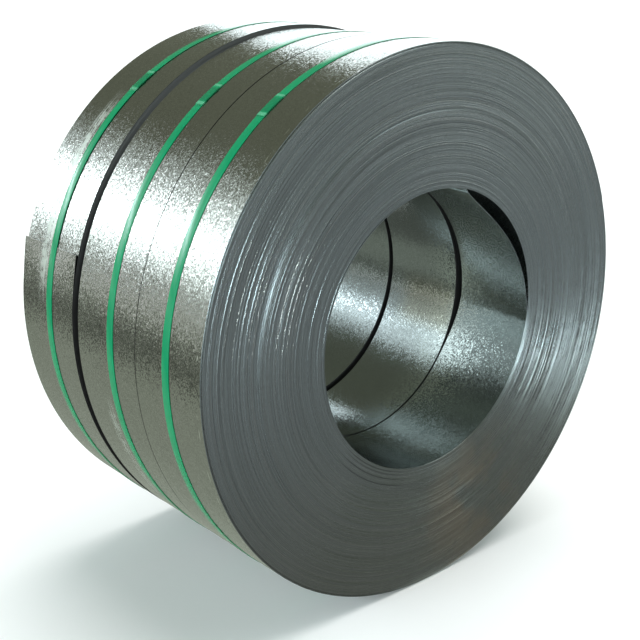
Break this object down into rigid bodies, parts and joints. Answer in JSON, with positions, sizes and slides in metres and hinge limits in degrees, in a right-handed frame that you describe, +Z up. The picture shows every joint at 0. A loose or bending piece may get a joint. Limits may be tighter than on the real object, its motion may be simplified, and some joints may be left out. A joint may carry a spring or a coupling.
{
  "type": "steel coil",
  "caption": "Galvanised steel strip coil, slit into narrow coils that lie side by side on a shared eye, each bound round its girth with a green plastic strap.",
  "frame": {"origin": "on the floor under the middle of the coil", "axes": "+Y along the coil's axis from the front end to the back end, +Z up, +X to the right as seen from the front end"},
  "size_m": [1.0039, 0.5622, 1.0039],
  "materials": {
    "galvanised_steel": "hot-dip zinc with a small spangle",
    "green_strap": "satin polyester strap"
  },
  "bodies": {
    "root": {"coil_front": "galvanised_steel", "coil_middle": "galvanised_steel", "coil_back": "galvanised_steel", "strap_front": "green_strap", "strap_middle": "green_strap", "strap_back": "green_strap"}
  },
  "joints": []
}
